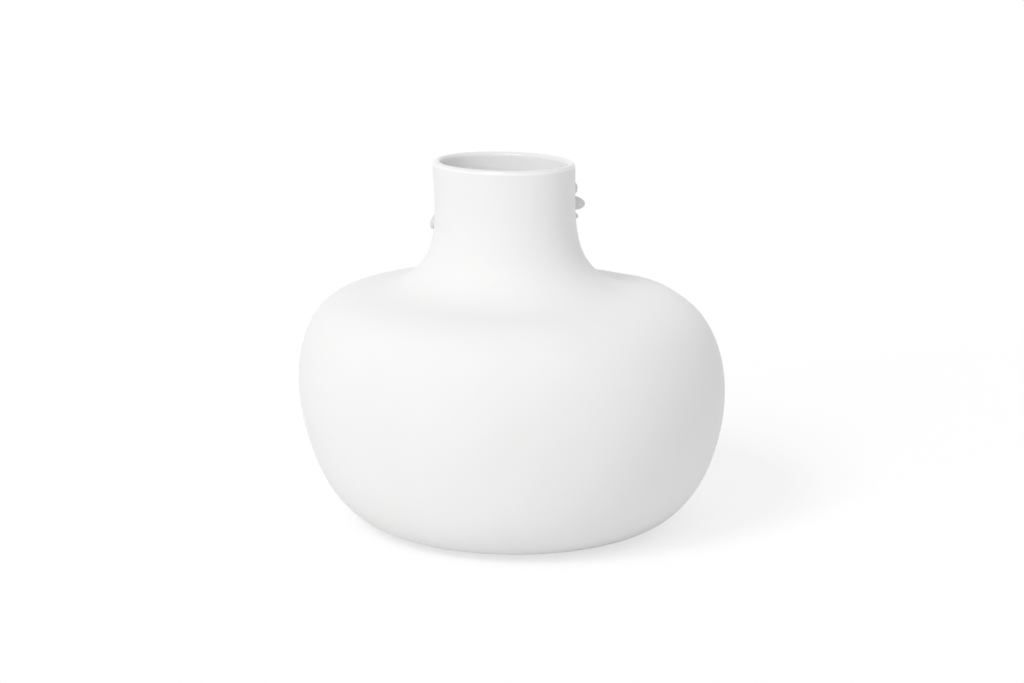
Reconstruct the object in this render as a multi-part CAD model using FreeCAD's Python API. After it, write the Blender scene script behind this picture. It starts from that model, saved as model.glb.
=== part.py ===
import FreeCAD, Part
import math
import os

from FreeCAD import Matrix, Placement, Rotation, Vector

os.makedirs("parts", exist_ok=True)

# A slip-cast porcelain vase with a wide oval body, a short oval neck and a rounded lip, glazed inside.
# X runs along the long axis of the oval and Y along its short axis. The origin is the middle of the foot.
# Lengths are in millimetres and angles in degrees.

# Outside of the casting: the width and depth of each level that shapes it
foot_width = 105.0
foot_depth = 95.6
belly_width = 222.0
belly_depth = 178.8
collar_width = 82.5
collar_depth = 61.0
waist_width = 73.4
waist_depth = 52.3
lip_width = 74.2
lip_depth = 52.0

# How far each level stands above the one before it
belly_rise = 69.0
collar_rise = 66.8
waist_rise = 28.0
lip_rise = 19.4

# Levels between the named ones, as shares of the way out, back and up from one to the next
lower_wall_shares = ((0.425, 0.50, 0.055), (0.735, 0.81, 0.275), (0.93, 0.957, 0.63))
shoulder_shares = ((0.042, 0.05, 0.322), (0.18, 0.188, 0.578), (0.446, 0.45, 0.719), (0.762, 0.767, 0.788))

# Rise of the wall where it leaves the foot, as a share of its way out
foot_rise_share = 0.22

# Edge of the level floor inside, as a share of the way from the foot to the first level above it
floor_edge_share = 0.45

# Walls: the cast porcelain and the coat of glaze on its inside
cast_wall = 3.4
glaze_coat = 0.35

# Underside: a flat ring to stand on round a shallow recess
foot_ring_width = 4.0
foot_recess = 1.6
foot_recess_slope = 1.2

# Lobes luted to the rear of the neck, at two turns round the oval from its wide end, over a thin bed of slip
rear_right_turn = 34.0
rear_left_turn = 186.0
luting_gap = 0.3

# Each lobe: how far it sits below the top of the lip, its reach, thickness and width, and how steeply it droops
upper_drop = 14.0
upper_reach = 2.2
upper_thickness = 6.8
upper_width = 7.0
upper_droop = 0.0
middle_drop = 21.5
middle_reach = 6.2
middle_thickness = 6.8
middle_width = 7.0
middle_droop = 12.0
lower_drop = 27.4
lower_reach = 2.8
lower_thickness = 2.8
lower_width = 5.0
lower_droop = 40.0
left_drop = 31.5
left_reach = 5.4
left_thickness = 4.8
left_width = 7.0
left_droop = 58.0

# Heights of the levels above the table
belly_height = belly_rise
collar_height = belly_height + collar_rise
waist_height = collar_height + waist_rise
vase_height = waist_height + lip_rise

# The lip is rounded over the whole thickness of the glazed wall
glazed_wall = cast_wall + glaze_coat
lip_round = glazed_wall / 2
rounding_height = vase_height - lip_round

# A full turn of an oval is drawn with eight poles, every second one a corner
turn_poles = 8
pole_step = 2 * math.pi / turn_poles
corner_reach = 1 / math.cos(pole_step)
turn_knots = [0, 1, 2, 3, 4]
turn_mults = [3, 2, 2, 2, 3]


def level(width, depth, height):
    """One level of the outline: half width, half depth and height as one point."""
    return Vector(width / 2, depth / 2, height)


def between(low, high, share_rows):
    """The levels at given shares of the way out, back and up from one level to another."""
    run = high.sub(low)
    return [low.add(Vector(run.x * out, run.y * back, run.z * up)) for out, back, up in share_rows]


def smooth_outline(levels, rise_share):
    """One smooth curve through the levels, which leaves the first at a given rise and reaches the last upright."""
    start = levels[0]
    way_out = Vector(start.x, start.y, start.x * rise_share)
    upright = Vector(0, 0, 1)
    curve = Part.BSplineCurve()
    curve.interpolate(Points=levels, InitialTangent=way_out.normalize(), FinalTangent=upright, Scale=False)
    return curve


def straight_outline(start, end):
    """A straight stretch of outline between two levels."""
    curve = Part.BSplineCurve()
    curve.buildFromPolesMultsKnots([start, end], [2, 2], [0, 1], False, 1, [1, 1])
    return curve


def quarter_round(start, corner, end):
    """A quarter of an oval arc, which leaves its start and reaches its end along the lines to the corner."""
    curve = Part.BSplineCurve()
    weights = [1, 1 / corner_reach, 1]
    curve.buildFromPolesMultsKnots([start, corner, end], [3, 3], [0, 1], False, 2, weights)
    return curve


def turn_weight(step):
    """The weight of one pole of the turn: corners weigh less, which makes the oval exact."""
    return 1 if step % 2 == 0 else 1 / corner_reach


def turn_pole(point, step):
    """One pole of the turn of an outline point round the oval."""
    reach = 1 if step % 2 == 0 else corner_reach
    angle = step * pole_step
    return Vector(point.x * reach * math.cos(angle), point.y * reach * math.sin(angle), point.z)


def oval_skin(outline):
    """The face that an outline sweeps round the oval, with its own width and depth at each height."""
    steps = range(turn_poles + 1)
    poles = [[turn_pole(point, step) for step in steps] for point in outline.getPoles()]
    weights = [[weight * turn_weight(step) for step in steps] for weight in outline.getWeights()]
    skin = Part.BSplineSurface()
    skin.buildFromPolesMultsKnots(
        poles,
        outline.getMultiplicities(),
        turn_mults,
        outline.getKnots(),
        turn_knots,
        False,
        False,
        outline.Degree,
        2,
        weights,
    )
    return skin.toShape()


def oval_wire(point):
    """The closed edge of one level."""
    steps = range(turn_poles + 1)
    poles = [turn_pole(point, step) for step in steps]
    weights = [turn_weight(step) for step in steps]
    edge = Part.BSplineCurve()
    edge.buildFromPolesMultsKnots(poles, turn_mults, turn_knots, False, 2, weights)
    return Part.Wire(edge.toShape())


def flat_face(*points):
    """The flat face of one level, or the flat ring between two."""
    return Part.makeFace([oval_wire(point) for point in points], "Part::FaceMakerBullseye")


def closed_solid(faces):
    """The solid that the faces close."""
    skin = Part.makeShell(faces)
    skin.sewShape()
    solid = Part.makeSolid(skin)
    if solid.Volume < 0:
        solid.reverse()
    return solid


def outer_levels():
    """The outside of the casting, from the edge of the foot up to where the lip begins to round over."""
    foot = level(foot_width, foot_depth, 0)
    belly = level(belly_width, belly_depth, belly_height)
    collar = level(collar_width, collar_depth, collar_height)
    waist = level(waist_width, waist_depth, waist_height)
    lip = level(lip_width, lip_depth, rounding_height)
    lower_wall = between(foot, belly, lower_wall_shares)
    shoulder = between(belly, collar, shoulder_shares)
    return [foot] + lower_wall + [belly] + shoulder + [collar, waist, lip]


def inset(point, way, thickness):
    """A level moved inwards, square to the outline at its wide end and at its deep end."""
    across = math.hypot(way.x, way.z)
    along = math.hypot(way.y, way.z)
    lift = (way.x / across + way.y / along) / 2
    move = Vector(-way.z / across, -way.z / along, lift)
    return point.add(move.multiply(thickness))


def inner_levels(outline, thickness):
    """The inside of a wall of even thickness, from the edge of the floor up to the lip."""
    foot, *walls = outer_levels()
    (floor_edge,) = between(foot, walls[0], [(floor_edge_share, floor_edge_share, 0)])
    levels = [floor_edge.add(Vector(0, 0, foot_recess + thickness))]
    for point in walls:
        (way,) = outline.tangent(outline.parameter(point))
        levels.append(inset(point, way, thickness))
    return levels


def lip_rounding(edge, thickness, rise):
    """The two quarters that round the lip over, from the outside edge to the inside one."""
    half = thickness / 2
    outer_corner = edge.add(Vector(0, 0, rise))
    crown = outer_corner.sub(Vector(half, half, 0))
    inner_corner = outer_corner.sub(Vector(thickness, thickness, 0))
    inside = edge.sub(Vector(thickness, thickness, 0))
    return [
        oval_skin(quarter_round(edge, outer_corner, crown)),
        oval_skin(quarter_round(crown, inner_corner, inside)),
    ]


def lining(outline, thickness, rise):
    """All faces of the inside: the rounded lip, the inner wall and the floor that it leaves level."""
    levels = inner_levels(outline, thickness)
    inner_wall = oval_skin(smooth_outline(levels, 0))
    floor = flat_face(levels[0])
    return lip_rounding(outline.EndPoint, thickness, rise) + [inner_wall, floor]


def underside(foot):
    """The flat ring that the vase stands on and the shallow recess inside it."""
    ring = foot.sub(Vector(foot_ring_width, foot_ring_width, 0))
    ceiling = ring.add(Vector(-foot_recess_slope, -foot_recess_slope, foot_recess))
    return [flat_face(foot, ring), oval_skin(straight_outline(ring, ceiling)), flat_face(ceiling)]


def vase_body(outline):
    """The porcelain casting, one hollow piece from its foot ring to its lip."""
    inside = lining(outline, cast_wall, lip_round - glaze_coat)
    return closed_solid([oval_skin(outline)] + inside + underside(outline.StartPoint))


def interior_glaze(outline):
    """The coat of glaze on the inside, which comes over the lip and thins out at its outer edge."""
    under = lining(outline, cast_wall, lip_round - glaze_coat)
    over = lining(outline, glazed_wall, lip_round)
    return closed_solid(under + over)


def outer_form(outline):
    """The outside of the casting as a full solid, which trims what sits on it."""
    return closed_solid([oval_skin(outline), flat_face(outline.StartPoint), flat_face(outline.EndPoint)])


def seat_on_neck(outline, turn, height):
    """The place on the neck at a height and a turn round the oval, with X outwards and Z up."""
    (crossing,), _ = outline.intersectCS(Part.Plane(Vector(0, 0, height), Vector(0, 0, 1)))
    angle = math.radians(turn)
    place = Vector(crossing.X * math.cos(angle), crossing.Y * math.sin(angle), height)
    outward = Vector(math.cos(angle) / crossing.X, math.sin(angle) / crossing.Y, 0)
    return Placement(place, Rotation(Vector(1, 0, 0), outward))


def lobe(outline, form, turn, drop, reach, thickness, width, droop):
    """A small rounded lobe that leans out and down from the neck, trimmed to its wall and set off by its slip."""
    stretch = Matrix()
    stretch.scale(reach, width / 2, thickness / 2)
    ovoid = Part.makeSphere(1).transformGeometry(stretch)
    seat = seat_on_neck(outline, turn, vase_height - drop)
    lean = Placement(Vector(0, 0, 0), Rotation(Vector(0, 1, 0), droop))
    ovoid.Placement = seat.multiply(lean)
    trimmed = ovoid.cut(form).Solids[0]
    return trimmed.translated(seat.Rotation.multVec(Vector(luting_gap, 0, 0)))


def main():
    outline = smooth_outline(outer_levels(), foot_rise_share)
    form = outer_form(outline)
    pieces = {"vase_body": vase_body(outline), "interior_glaze": interior_glaze(outline)}
    lobes = {
        "upper_lobe": (rear_right_turn, upper_drop, upper_reach, upper_thickness, upper_width, upper_droop),
        "middle_lobe": (rear_right_turn, middle_drop, middle_reach, middle_thickness, middle_width, middle_droop),
        "lower_lobe": (rear_right_turn, lower_drop, lower_reach, lower_thickness, lower_width, lower_droop),
        "left_lobe": (rear_left_turn, left_drop, left_reach, left_thickness, left_width, left_droop),
    }
    for name, sizes in lobes.items():
        pieces[name] = lobe(outline, form, *sizes)
    for name, shape in pieces.items():
        print(name, "valid" if shape.isValid() else "faulty", round(shape.Volume, 1))
        shape.exportStep(f"parts/{name}.step")


main()
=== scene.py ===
import math

import bpy
import numpy as np
from mathutils import Matrix, Vector


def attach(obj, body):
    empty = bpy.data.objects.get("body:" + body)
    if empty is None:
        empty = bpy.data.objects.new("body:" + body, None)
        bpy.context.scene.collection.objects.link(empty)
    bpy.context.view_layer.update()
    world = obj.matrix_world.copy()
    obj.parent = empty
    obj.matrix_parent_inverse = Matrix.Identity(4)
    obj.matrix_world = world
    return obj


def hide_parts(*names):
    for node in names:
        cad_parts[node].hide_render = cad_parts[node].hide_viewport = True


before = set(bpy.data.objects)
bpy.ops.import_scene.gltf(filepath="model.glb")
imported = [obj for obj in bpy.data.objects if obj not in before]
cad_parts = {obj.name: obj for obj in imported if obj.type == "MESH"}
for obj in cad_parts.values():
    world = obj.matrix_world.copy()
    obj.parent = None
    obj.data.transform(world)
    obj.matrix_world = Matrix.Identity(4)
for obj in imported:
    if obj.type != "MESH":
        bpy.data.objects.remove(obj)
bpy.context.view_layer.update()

MM = 0.001

# Sizes of the casting, in metres, the same as the solids': width, depth and height of each level
FOOT = (105.0 * MM, 95.6 * MM, 0.0)
BELLY = (222.0 * MM, 178.8 * MM, 69.0 * MM)
COLLAR = (82.5 * MM, 61.0 * MM, 135.8 * MM)
WAIST = (73.4 * MM, 52.3 * MM, 163.8 * MM)
LIP = (74.2 * MM, 52.0 * MM, 183.2 * MM)
CAST_WALL = 3.4 * MM
GLAZE_COAT = 0.35 * MM
GLAZED_WALL = CAST_WALL + GLAZE_COAT
LIP_ROUND = GLAZED_WALL / 2
CROWN_RISE = LIP_ROUND - GLAZE_COAT
FOOT_RING_WIDTH = 4.0 * MM
FOOT_RECESS = 1.6 * MM
FOOT_RECESS_SLOPE = 1.2 * MM
FOOT_EDGE_ROUND = 0.5 * MM

# Levels between the named ones, as shares of the way out, back and up
LOWER_WALL_SHARES = ((0.425, 0.50, 0.055), (0.735, 0.81, 0.275), (0.93, 0.957, 0.63))
SHOULDER_SHARES = (
    (0.042, 0.05, 0.322),
    (0.18, 0.188, 0.578),
    (0.446, 0.45, 0.719),
    (0.762, 0.767, 0.788),
)

# Shares of the way out: the wall's rise where it leaves the foot, and the edge of the level floor inside
FOOT_RISE_SHARE = 0.22
FLOOR_EDGE_SHARE = 0.45

# Lobes on the rear of the neck: turn round the oval, drop below the lip, reach, thickness, width, droop
LOBES = {
    "upper_lobe": (34.0, 14.0 * MM, 2.2 * MM, 6.8 * MM, 7.0 * MM, 0.0),
    "middle_lobe": (34.0, 21.5 * MM, 6.2 * MM, 6.8 * MM, 7.0 * MM, 12.0),
    "lower_lobe": (34.0, 27.4 * MM, 2.8 * MM, 2.8 * MM, 5.0 * MM, 40.0),
    "left_lobe": (186.0, 31.5 * MM, 5.4 * MM, 4.8 * MM, 7.0 * MM, 58.0),
}

# The slip that lutes a lobe to the neck: how deep the lobe is bedded and how far the slip feathers out
LOBE_BED = 0.15 * MM
LUTING_FLARE = 0.55 * MM

# The faint swell that finishing by hand left on the shoulder: its place to the right of the axis and
# behind it in the photograph's view, its spread both ways, its rise, and the heights between which it
# fades in and out
SWELL_RIGHT = 67.0 * MM
SWELL_BEHIND = 18.3 * MM
SWELL_WIDTH = 17.0 * MM
SWELL_DEPTH = 8.5 * MM
SWELL_RISE = 1.25 * MM
SWELL_HEIGHTS = (85.0 * MM, 105.0 * MM, 126.0 * MM, 142.0 * MM)

# Fineness of the meshes
SEGMENTS = 192
WALL_STEPS = 150
ARC_STEPS = 10
FOOT_EDGE_STEPS = 4
FOOT_RING_SHARES = (0.25, 0.5, 0.75)
LOBE_RINGS = 40
LOBE_SEGMENTS = 56
CRISP_ANGLE = math.radians(40)

# The photograph's view in pixels: frame size, the place of the vase's axis in it and the distance
FRAME_WIDTH = 1024
FRAME_HEIGHT = 683
TARGET_X = 507.58
TARGET_Y = 324.91
VIEW_DISTANCE_PX = 2435.0

# The same view in real sizes: a pixel at the axis, the height aimed at, the turns and the lens
PIXEL = 0.5 * MM
TARGET_HEIGHT = 100.0 * MM
VIEW_TURN = math.radians(27.31)
VIEW_PITCH = math.radians(14.94)
VIEW_ROLL = math.radians(1.437)
SENSOR_WIDTH = 36.0
FARTHEST_SEEN = 100

# Colours of the porcelain and its glaze
PORCELAIN_LIGHT = (0.875, 0.875, 0.872)
PORCELAIN_DEEP = (0.862, 0.862, 0.858)
PORCELAIN_SPECK = (0.74, 0.735, 0.72)
FOOT_RUBBED = (0.72, 0.71, 0.69)
# The lobes are of the same porcelain as the body; their darker colours are painted shade, for the shade
# they lie in beside the neck
LOBE_SHADED_LIGHT = (0.74, 0.739, 0.735)
LOBE_SHADED_DEEP = (0.725, 0.724, 0.719)
GLAZE_LIGHT = (0.98, 0.98, 0.977)
GLAZE_DEEP = (0.97, 0.971, 0.971)
# The glaze's colour on the lip is darker than the glaze and the porcelain: painted shade on the lip's
# up-facing top
GLAZE_PAINTED_LIP_SHADE = (0.815, 0.815, 0.812)

# Patterns in the finish: spots to the metre, layers of detail and, for the grain, how rough the layers are
CLOUDS = (22, 3)
GRAIN = (1400, 4, 0.6)
SPECKS = (650, 2)
HAND_MARKS = (30, 2)
POOLS = (28, 2)
PINHOLES = (900, 1)
RIPPLE = (110, 2)

# The stretch of each pattern over which it shows, and how much of it shows at most
CLOUD_STRETCH = (0.35, 0.65)
GRAIN_STRETCH = (0.3, 0.7)
SPECK_STRETCH = (0.7, 0.78)
SPECK_SHARE = 0.35
PINHOLE_STRETCH = (0.78, 0.84)
PINHOLE_SHARE = 0.3
FULL_STRETCH = (0, 1)

# Shine and relief: roughness from one end of the pattern to the other, and each bump's depth and strength
PORCELAIN_ROUGHNESS = (0.56, 0.7)
PORCELAIN_SHINE = 0.3
GLAZE_ROUGHNESS = (0.04, 0.08)
GLAZE_SHINE = 0.4
GLAZE_IOR = 1.5
GRAIN_RELIEF = (0.012 * MM, 0.6)
HAND_RELIEF = (0.05 * MM, 0.5)
RIPPLE_RELIEF = (0.02 * MM, 0.4)

# Heights where the rubbing of the foot begins and where it is full, and how much of it shows there
RUBBED_STRETCH = (0.9 * MM, 0.1 * MM)
RUBBED_SHARE = 0.8

# Heights between which painted shade darkens the glaze over the lip
PAINTED_LIP_SHADE_STRETCH = (LIP[2] - 1.9 * MM, LIP[2] - 0.5 * MM)

# The studio: the floor's reach, its colour as it lights the vase, its colour as it shows to the camera,
# the glow added to that, and the even light of the room
FLOOR_REACH = 6.0
FLOOR_COLOUR = (0.9, 0.9, 0.9)
FLOOR_SHOWN = (0.36, 0.36, 0.36)
FLOOR_GLOW = 0.663
ROOM_LIGHT = 0.555

# Each lamp: its turn from the picture's right, its height and how wide it looks in degrees, its strength
LAMPS = {
    "key_lamp": (222.0, 48.0, 20.0, 0.9),
    "front_lamp": (240.0, 35.0, 40.0, 0.38),
    "low_lamp": (216.0, 14.0, 6.0, 0.2),
    "rear_lamp": (60.0, 35.0, 130.0, 0.42),
}

# What a level is multiplied by to give its middle on the axis, or the level halfway in to it
ON_AXIS = (0, 0, 1)
HALFWAY_IN = (0.5, 0.5, 1)

# The sockets of a mix node that take and give colours
MIX_FIRST = 6
MIX_SECOND = 7
MIX_RESULT = 2

# Directions in the photograph's view, level with the floor
VIEW_RIGHT = Vector((math.cos(VIEW_TURN), math.sin(VIEW_TURN), 0))
VIEW_AWAY = Vector((-math.sin(VIEW_TURN), math.cos(VIEW_TURN), 0))


def half(size):
    """One level of the outline: half width, half depth and height."""
    return np.array([size[0] / 2, size[1] / 2, size[2]])


def between(low, high, share_rows):
    """The levels at given shares of the way out, back and up from one level to another."""
    return [low + (high - low) * np.array(shares) for shares in share_rows]


def outer_levels():
    """The outside of the casting, from the edge of the foot up to where the lip begins to round over."""
    foot, belly, collar, waist, lip = (half(size) for size in (FOOT, BELLY, COLLAR, WAIST, LIP))
    lip = lip - np.array([0, 0, LIP_ROUND])
    lower_wall = between(foot, belly, LOWER_WALL_SHARES)
    shoulder = between(belly, collar, SHOULDER_SHARES)
    return np.array([foot, *lower_wall, belly, *shoulder, collar, waist, lip])


class Outline:
    """A smooth cubic curve through levels, with a given direction at both ends."""

    def __init__(self, levels, rise_share):
        way_out = np.array([levels[0][0], levels[0][1], levels[0][0] * rise_share])
        self.points = np.array(levels)
        self.steps = np.linalg.norm(np.diff(self.points, axis=0), axis=1)
        self.knots = np.r_[0, np.cumsum(self.steps)]
        self.ways = self.solve_ways(way_out / np.linalg.norm(way_out), np.array([0, 0, 1.0]))

    def solve_ways(self, first, last):
        """The direction at each level that makes the bend of the curve change evenly."""
        count = len(self.points)
        matrix = np.eye(count)
        sides = np.zeros((count, 3))
        sides[0], sides[-1] = first, last
        slopes = np.diff(self.points, axis=0) / self.steps[:, None]
        for k in range(1, count - 1):
            before, after = self.steps[k - 1], self.steps[k]
            matrix[k, k - 1 : k + 2] = after, 2 * (before + after), before
            sides[k] = 3 * (after * slopes[k - 1] + before * slopes[k])
        return np.linalg.solve(matrix, sides)

    def at(self, places):
        """The points of the curve at given lengths along its levels."""
        k = np.clip(np.searchsorted(self.knots, places, side="right") - 1, 0, len(self.steps) - 1)
        step = self.steps[k]
        t = ((places - self.knots[k]) / step)[:, None]
        low, high = self.points[k], self.points[k + 1]
        way_low, way_high = self.ways[k] * step[:, None], self.ways[k + 1] * step[:, None]
        rest = 1 - t
        return (
            low * (1 + 2 * t) * rest**2
            + way_low * t * rest**2
            + high * t**2 * (3 - 2 * t)
            - way_high * t**2 * rest
        )

    def rows(self, count):
        """Points of the curve from end to end, evenly spaced along its levels."""
        return self.at(np.linspace(0, self.knots[-1], count))


def inset(point, way, thickness):
    """A level moved inwards, square to the outline at its wide end and at its deep end."""
    across = math.hypot(way[0], way[2])
    along = math.hypot(way[1], way[2])
    lift = (way[0] / across + way[1] / along) / 2
    return point + np.array([-way[2] / across, -way[2] / along, lift]) * thickness


def inner_outline(outer, thickness):
    """The inside of a wall of even thickness, from the edge of the floor up to the lip."""
    foot, first = outer.points[:2]
    (floor_edge,) = between(foot, first, [(FLOOR_EDGE_SHARE, FLOOR_EDGE_SHARE, 0)])
    levels = [floor_edge + np.array([0, 0, FOOT_RECESS + thickness])]
    levels += [inset(point, way, thickness) for point, way in zip(outer.points[1:], outer.ways[1:])]
    return Outline(levels, 0)


def arc(start, corner, end, steps=ARC_STEPS):
    """Levels along a quarter round from start to end, which follows the lines to the corner."""
    angles = np.linspace(0, math.pi / 2, steps + 1)[:, None]
    centre = start + end - corner
    return centre + (start - centre) * np.cos(angles) + (end - centre) * np.sin(angles)


def crown(edge, thickness, rise):
    """Levels over the rounded lip, from its outside edge to its inside one."""
    outer_corner = edge + np.array([0, 0, rise])
    top = outer_corner - np.array([thickness / 2, thickness / 2, 0])
    inner_corner = outer_corner - np.array([thickness, thickness, 0])
    inside = edge - np.array([thickness, thickness, 0])
    return np.concatenate([arc(edge, outer_corner, top)[1:], arc(top, inner_corner, inside)[1:]])


def underside(foot):
    """Levels from the middle of the recess out over the softened foot ring to the edge of the foot."""
    width, slope, soft = FOOT_RING_WIDTH, FOOT_RECESS_SLOPE, FOOT_EDGE_ROUND
    ring = foot - np.array([width, width, 0])
    ceiling = ring + np.array([-slope, -slope, FOOT_RECESS])
    wall = (ceiling - ring) / np.linalg.norm(ceiling - ring)
    out = np.array([1.0, 1.0, 0.0])
    inner_edge = arc(ring + wall * soft, ring, ring + out * soft, FOOT_EDGE_STEPS)
    middle = ring + np.outer(FOOT_RING_SHARES, out) * width
    recess = [ceiling * ON_AXIS, ceiling * HALFWAY_IN, ceiling]
    return np.concatenate([recess, inner_edge, middle])


def turned_mesh(name, rows):
    """A closed mesh from levels that start and end on the axis, each turned into an oval ring."""
    turns = np.arange(SEGMENTS) * 2 * math.pi / SEGMENTS
    rings = rows[1:-1]
    x = np.outer(rings[:, 0], np.cos(turns))
    y = np.outer(rings[:, 1], np.sin(turns))
    z = np.repeat(rings[:, 2:], SEGMENTS, axis=1)
    points = swollen(np.stack([x, y, z], axis=-1).reshape(-1, 3))
    points = np.concatenate([points, rows[:1], rows[-1:]])
    return new_object(name, points.tolist(), ring_faces(len(rings), SEGMENTS))


def ring_faces(rings, segments):
    """Faces between rings of points, closed by the two points that come after the rings in the list."""
    first, last = rings * segments, rings * segments + 1
    faces = []
    for step in range(segments):
        following = (step + 1) % segments
        faces.append((first, following, step))
        for ring in range(rings - 1):
            low, high = ring * segments, (ring + 1) * segments
            faces.append((low + step, low + following, high + following, high + step))
        top = (rings - 1) * segments
        faces.append((top + step, top + following, last))
    return faces


def swollen(points):
    """The points with the shoulder's faint swell, which lifts both sides of its wall alike."""
    right = points[:, 0] * math.cos(VIEW_TURN) + points[:, 1] * math.sin(VIEW_TURN)
    behind = points[:, 1] * math.cos(VIEW_TURN) - points[:, 0] * math.sin(VIEW_TURN)
    away = np.hypot((right - SWELL_RIGHT) / SWELL_WIDTH, (behind - SWELL_BEHIND) / SWELL_DEPTH)
    share = np.interp(points[:, 2], SWELL_HEIGHTS, (0, 1, 1, 0))
    lift = SWELL_RISE * share * np.exp(-(away**2) / 2)
    return points + np.outer(lift, (0, 0, 1))


def new_object(name, points, faces):
    """A smooth-shaded mesh object in the scene, with its sharpest edges kept crisp."""
    mesh = bpy.data.meshes.new(name)
    mesh.from_pydata(points, [], faces)
    mesh.validate()
    mesh.shade_smooth()
    mesh.set_sharp_from_angle(angle=CRISP_ANGLE)
    piece = bpy.data.objects.new(name, mesh)
    bpy.context.scene.collection.objects.link(piece)
    return piece


def neck_oval(outer, heights):
    """Half the width and half the depth of the neck at given heights."""
    rows = outer.rows(WALL_STEPS)
    neck = rows[rows[:, 2] > COLLAR[2]]
    return [np.interp(heights, neck[:, 2], neck[:, side]) for side in (0, 1)]


def neck_wall(outer, points):
    """How far points stand out from the outside of the neck, and the way out at each."""
    a, b = neck_oval(outer, points[:, 2])
    size = np.hypot(points[:, 0] / a, points[:, 1] / b)
    slope = np.stack([points[:, 0] / a**2, points[:, 1] / b**2, np.zeros(len(points))], axis=1)
    slope = slope / size[:, None]
    steepness = np.linalg.norm(slope, axis=1)
    return (size - 1) / steepness, slope / steepness[:, None]


def unit_ball():
    """Rings of points round a ball of radius 1 from its tip to its root, then the tip and the root."""
    tilts = np.linspace(0, math.pi, LOBE_RINGS + 1)[1:-1]
    turns = np.arange(LOBE_SEGMENTS) * 2 * math.pi / LOBE_SEGMENTS
    along = np.repeat(np.cos(tilts), LOBE_SEGMENTS)
    across = np.outer(np.sin(tilts), np.cos(turns)).ravel()
    over = np.outer(np.sin(tilts), np.sin(turns)).ravel()
    rings = np.stack([along, across, over], axis=1)
    return np.concatenate([rings, [[1, 0, 0], [-1, 0, 0]]])


def bedded(points, outer, seat, outward):
    """The points of a lobe pressed flat on the neck, with a feathered edge of slip round its root."""
    distance, way = neck_wall(outer, points)
    sunk = np.minimum(distance + LOBE_BED, 0)
    points = points - way * sunk[:, None]
    share = np.clip(1 - np.maximum(distance, 0) / LUTING_FLARE, 0, 1)
    side = points - seat
    side = side - outward * (side @ outward)[:, None]
    side /= np.maximum(np.linalg.norm(side, axis=1), LOBE_BED)[:, None]
    at_edge = np.clip(1 + np.minimum(distance, 0) / LUTING_FLARE, 0, 1)
    return points + side * (LUTING_FLARE * share**2 * at_edge)[:, None]


def lobe_mesh(name, outer, turn, drop, reach, thickness, width, droop):
    """A rounded lobe that leans out and down from the neck and is bedded in it."""
    height = LIP[2] - drop
    a, b = neck_oval(outer, height)
    turn, droop = math.radians(turn), math.radians(droop)
    seat = np.array([a * math.cos(turn), b * math.sin(turn), height])
    outward = np.array([math.cos(turn) / a, math.sin(turn) / b, 0])
    outward /= np.linalg.norm(outward)
    up = np.array([0.0, 0.0, 1.0])
    axes = np.array([
        (outward * math.cos(droop) - up * math.sin(droop)) * reach,
        np.cross(up, outward) * width / 2,
        (outward * math.sin(droop) + up * math.cos(droop)) * thickness / 2,
    ])
    points = bedded(seat + unit_ball() @ axes, outer, seat, outward)
    # The rings run from the tip to the root, so each face is turned over
    faces = [(first, *rest[::-1]) for first, *rest in ring_faces(LOBE_RINGS - 1, LOBE_SEGMENTS)]
    return new_object(name, points.tolist(), faces)


def casting_rows(outer):
    """All levels of the porcelain casting: underside, outer wall, lip, inner wall and floor."""
    below = underside(outer.points[0])
    wall = outer.rows(WALL_STEPS)
    lip = crown(wall[-1], CAST_WALL, CROWN_RISE)
    inner = inner_outline(outer, CAST_WALL).rows(WALL_STEPS)[::-1]
    inner_floor = [inner[-1] * HALFWAY_IN, inner[-1] * ON_AXIS]
    return np.concatenate([below, wall, lip, inner[1:], inner_floor])


def glaze_rows(outer):
    """All levels of the glaze: its hidden side against the porcelain and its open side."""
    under = inner_outline(outer, CAST_WALL).rows(WALL_STEPS)
    over = inner_outline(outer, GLAZED_WALL).rows(WALL_STEPS)[::-1]
    edge = outer.points[-1]
    back = crown(edge, CAST_WALL, CROWN_RISE)[::-1]
    front = crown(edge, GLAZED_WALL, LIP_ROUND)
    under_floor = [under[0] * ON_AXIS, under[0] * HALFWAY_IN]
    over_floor = [over[-1] * HALFWAY_IN, over[-1] * ON_AXIS]
    return np.concatenate([under_floor, under, back[1:], [edge], front, over[1:], over_floor])


def place_camera():
    """The photograph's camera, with its slight roll and with no lens shift."""
    forward = VIEW_AWAY * math.cos(VIEW_PITCH) - Vector((0, 0, math.sin(VIEW_PITCH)))
    up = VIEW_AWAY * math.sin(VIEW_PITCH) + Vector((0, 0, math.cos(VIEW_PITCH)))
    rolled_right = VIEW_RIGHT * math.cos(VIEW_ROLL) - up * math.sin(VIEW_ROLL)
    rolled_up = VIEW_RIGHT * math.sin(VIEW_ROLL) + up * math.cos(VIEW_ROLL)
    target = Vector((0, 0, TARGET_HEIGHT))
    place = target - forward * VIEW_DISTANCE_PX * PIXEL
    place += rolled_right * (FRAME_WIDTH / 2 - TARGET_X) * PIXEL
    place += rolled_up * (TARGET_Y - FRAME_HEIGHT / 2) * PIXEL
    data = bpy.data.cameras.new("camera")
    data.sensor_width = SENSOR_WIDTH
    data.lens = SENSOR_WIDTH * VIEW_DISTANCE_PX / FRAME_WIDTH
    data.clip_end = FARTHEST_SEEN
    camera = bpy.data.objects.new("camera", data)
    axes = Matrix((rolled_right, rolled_up, -forward)).transposed()
    camera.matrix_world = Matrix.Translation(place) @ axes.to_4x4()
    bpy.context.scene.collection.objects.link(camera)
    bpy.context.scene.camera = camera


def new_material(name):
    """A new material with its node tree and its shader."""
    material = bpy.data.materials.new(name)
    material.use_nodes = True
    tree = material.node_tree
    return material, tree, tree.nodes["Principled BSDF"]


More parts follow.
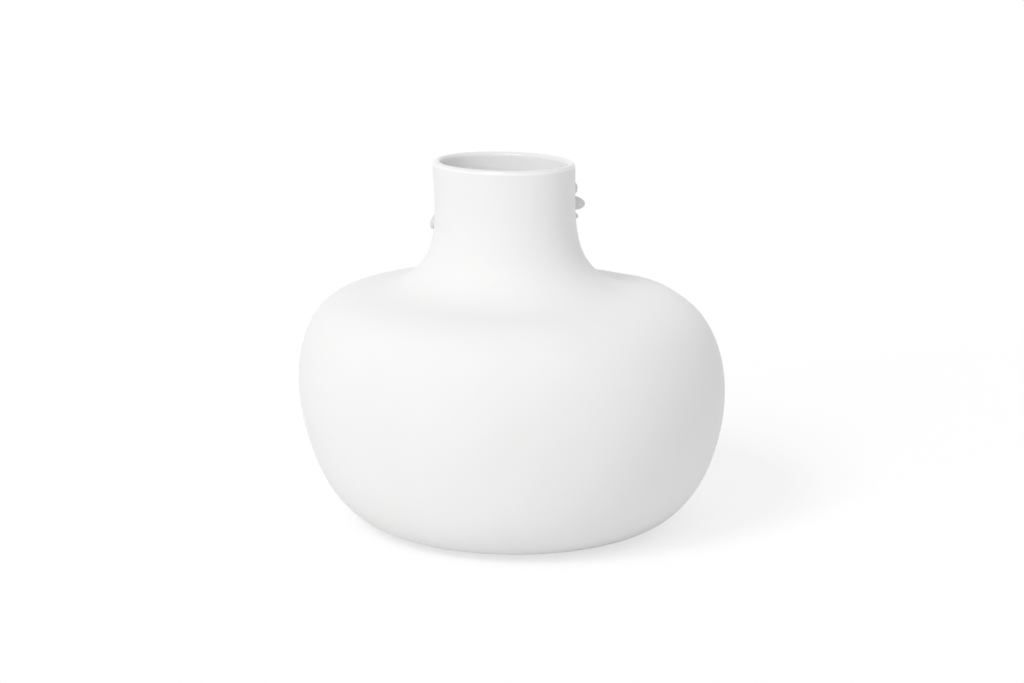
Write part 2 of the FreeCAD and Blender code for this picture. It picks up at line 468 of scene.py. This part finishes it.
def place_and_height(tree):
    """The place of each point of the surface, and its height alone."""
    place = tree.nodes.new("ShaderNodeTexCoord").outputs["Object"]
    apart = tree.nodes.new("ShaderNodeSeparateXYZ")
    tree.links.new(place, apart.inputs["Vector"])
    return place, apart.outputs["Z"]


def noise(tree, place, scale, detail, roughness=0.5):
    """A noise whose largest spots are about one part in scale of a metre."""
    node = tree.nodes.new("ShaderNodeTexNoise")
    node.inputs["Scale"].default_value = scale
    node.inputs["Detail"].default_value = detail
    node.inputs["Roughness"].default_value = roughness
    tree.links.new(place, node.inputs["Vector"])
    return node.outputs["Fac"]


def spread(tree, value, stretch, result=FULL_STRETCH):
    """A value from one stretch of numbers laid over another."""
    node = tree.nodes.new("ShaderNodeMapRange")
    for socket, number in zip(("From Min", "From Max", "To Min", "To Max"), (*stretch, *result)):
        node.inputs[socket].default_value = number
    tree.links.new(value, node.inputs["Value"])
    return node.outputs["Result"]


def blend(tree, share, first, second):
    """One colour that turns into another as the share rises from 0 to 1."""
    node = tree.nodes.new("ShaderNodeMix")
    node.data_type = "RGBA"
    tree.links.new(share, node.inputs["Factor"])
    for socket, colour in ((node.inputs[MIX_FIRST], first), (node.inputs[MIX_SECOND], second)):
        if isinstance(colour, tuple):
            socket.default_value = (*colour, 1)
        else:
            tree.links.new(colour, socket)
    return node.outputs[MIX_RESULT]


def bump(tree, height, distance, strength, below=None):
    """The way that a height turns the surface."""
    node = tree.nodes.new("ShaderNodeBump")
    node.inputs["Distance"].default_value = distance
    node.inputs["Strength"].default_value = strength
    tree.links.new(height, node.inputs["Height"])
    if below is not None:
        tree.links.new(below, node.inputs["Normal"])
    return node.outputs["Normal"]


def matte_porcelain(name, light, deep):
    """Unglazed white porcelain: a dry grain, faint clouds of slip, specks and a rubbed, greyer foot."""
    material, tree, shader = new_material(name)
    place, height = place_and_height(tree)
    clouds = spread(tree, noise(tree, place, *CLOUDS), CLOUD_STRETCH)
    specks = spread(tree, noise(tree, place, *SPECKS), SPECK_STRETCH, (0, SPECK_SHARE))
    rubbed = spread(tree, height, RUBBED_STRETCH, (0, RUBBED_SHARE))
    colour = blend(tree, clouds, deep, light)
    colour = blend(tree, specks, colour, PORCELAIN_SPECK)
    colour = blend(tree, rubbed, colour, FOOT_RUBBED)
    tree.links.new(colour, shader.inputs["Base Color"])
    grain = noise(tree, place, *GRAIN)
    roughness = spread(tree, grain, GRAIN_STRETCH, PORCELAIN_ROUGHNESS)
    tree.links.new(roughness, shader.inputs["Roughness"])
    shader.inputs["Specular IOR Level"].default_value = PORCELAIN_SHINE
    soft = bump(tree, noise(tree, place, *HAND_MARKS), *HAND_RELIEF)
    tree.links.new(bump(tree, grain, *GRAIN_RELIEF, soft), shader.inputs["Normal"])
    return material


def clear_glaze():
    """Clear glaze over white porcelain: glassy, faintly rippled, with pinholes, and with painted shade on
    the lip.
    """
    material, tree, shader = new_material("clear_glaze")
    place, height = place_and_height(tree)
    pooled = spread(tree, noise(tree, place, *POOLS), CLOUD_STRETCH)
    pinholes = spread(tree, noise(tree, place, *PINHOLES), PINHOLE_STRETCH, (0, PINHOLE_SHARE))
    lip_shade_share = spread(tree, height, PAINTED_LIP_SHADE_STRETCH)
    colour = blend(tree, pooled, GLAZE_DEEP, GLAZE_LIGHT)
    colour = blend(tree, pinholes, colour, PORCELAIN_SPECK)
    # Painted shade: the glaze turns darker over the lip
    colour = blend(tree, lip_shade_share, colour, GLAZE_PAINTED_LIP_SHADE)
    tree.links.new(colour, shader.inputs["Base Color"])
    tree.links.new(spread(tree, pooled, FULL_STRETCH, GLAZE_ROUGHNESS), shader.inputs["Roughness"])
    shader.inputs["IOR"].default_value = GLAZE_IOR
    shader.inputs["Specular IOR Level"].default_value = GLAZE_SHINE
    ripple = bump(tree, noise(tree, place, *RIPPLE), *RIPPLE_RELIEF)
    tree.links.new(ripple, shader.inputs["Normal"])
    return material


def seen_directly(tree):
    """1 for what the camera sees, also by reflection or through glass, and 0 for light that goes on."""
    path = tree.nodes.new("ShaderNodeLightPath")
    share = path.outputs["Is Camera Ray"]
    for name in ("Is Glossy Ray", "Is Transmission Ray"):
        larger = tree.nodes.new("ShaderNodeMath")
        larger.operation = "MAXIMUM"
        tree.links.new(share, larger.inputs[0])
        tree.links.new(path.outputs[name], larger.inputs[1])
        share = larger.outputs["Value"]
    return share


def mix_by_sight(tree, unseen, seen, output):
    """Two shaders in one: the first lights the scene and the second shows to the camera."""
    mix = tree.nodes.new("ShaderNodeMixShader")
    tree.links.new(seen_directly(tree), mix.inputs["Fac"])
    tree.links.new(unseen, mix.inputs[1])
    tree.links.new(seen, mix.inputs[2])
    tree.links.new(mix.outputs["Shader"], output)


def floor():
    """A plain pale floor, which shows white to the camera where no shadow falls."""
    corners = [(-FLOOR_REACH, -FLOOR_REACH, 0), (FLOOR_REACH, -FLOOR_REACH, 0)]
    corners += [(FLOOR_REACH, FLOOR_REACH, 0), (-FLOOR_REACH, FLOOR_REACH, 0)]
    piece = new_object("floor", corners, [(0, 1, 2, 3)])
    material, tree, shader = new_material("floor_paper")
    papers = []
    for colour in (FLOOR_COLOUR, FLOOR_SHOWN):
        paper = tree.nodes.new("ShaderNodeBsdfDiffuse")
        paper.inputs["Color"].default_value = (*colour, 1)
        papers.append(paper.outputs["BSDF"])
    glow = tree.nodes.new("ShaderNodeEmission")
    glow.inputs["Strength"].default_value = FLOOR_GLOW
    lit = tree.nodes.new("ShaderNodeAddShader")
    tree.links.new(papers[1], lit.inputs[0])
    tree.links.new(glow.outputs["Emission"], lit.inputs[1])
    output = tree.nodes["Material Output"].inputs["Surface"]
    mix_by_sight(tree, papers[0], lit.outputs["Shader"], output)
    tree.nodes.remove(shader)
    piece.data.materials.append(material)


def surroundings():
    """A white room that shows white and lights the vase evenly from all sides."""
    world = bpy.data.worlds.new("studio")
    bpy.context.scene.world = world
    world.use_nodes = True
    tree = world.node_tree
    room = tree.nodes["Background"]
    shown = tree.nodes.new("ShaderNodeBackground")
    room.inputs["Color"].default_value = (1, 1, 1, 1)
    room.inputs["Strength"].default_value = ROOM_LIGHT
    shown.inputs["Color"].default_value = (1, 1, 1, 1)
    shown.inputs["Strength"].default_value = 1
    output = tree.nodes["World Output"].inputs["Surface"]
    mix_by_sight(tree, room.outputs["Background"], shown.outputs["Background"], output)


def lamp(name, turn, height, softness, strength):
    """A soft lamp far off, which stands at a turn from the picture's right and at a height."""
    turn, height = math.radians(turn), math.radians(height)
    flat = VIEW_RIGHT * math.cos(turn) + VIEW_AWAY * math.sin(turn)
    source = flat * math.cos(height) + Vector((0, 0, math.sin(height)))
    data = bpy.data.lights.new(name, "SUN")
    data.energy = strength
    data.angle = math.radians(softness)
    piece = bpy.data.objects.new(name, data)
    piece.rotation_euler = source.to_track_quat("Z", "Y").to_euler()
    bpy.context.scene.collection.objects.link(piece)


def dress(piece, material, node):
    """Give a piece its material and finish and let it stand for its solid."""
    piece.data.materials.append(material)
    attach(piece, "root")
    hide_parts(node)


porcelain = matte_porcelain("matte_porcelain", PORCELAIN_LIGHT, PORCELAIN_DEEP)
# The lobes' material: the porcelain with painted shade in its darker colours
shaded_lobe_porcelain = matte_porcelain("shaded_lobe_porcelain", LOBE_SHADED_LIGHT, LOBE_SHADED_DEEP)
outer = Outline(outer_levels(), FOOT_RISE_SHARE)
dress(turned_mesh("porcelain_casting", casting_rows(outer)), porcelain, "vase_body")
dress(turned_mesh("glaze_lining", glaze_rows(outer)), clear_glaze(), "interior_glaze")
for node, sizes in LOBES.items():
    dress(lobe_mesh(node + "_clay", outer, *sizes), shaded_lobe_porcelain, node)
place_camera()
floor()
surroundings()
for name, sizes in LAMPS.items():
    lamp(name, *sizes)

bpy.context.scene.view_settings.view_transform = "Standard"
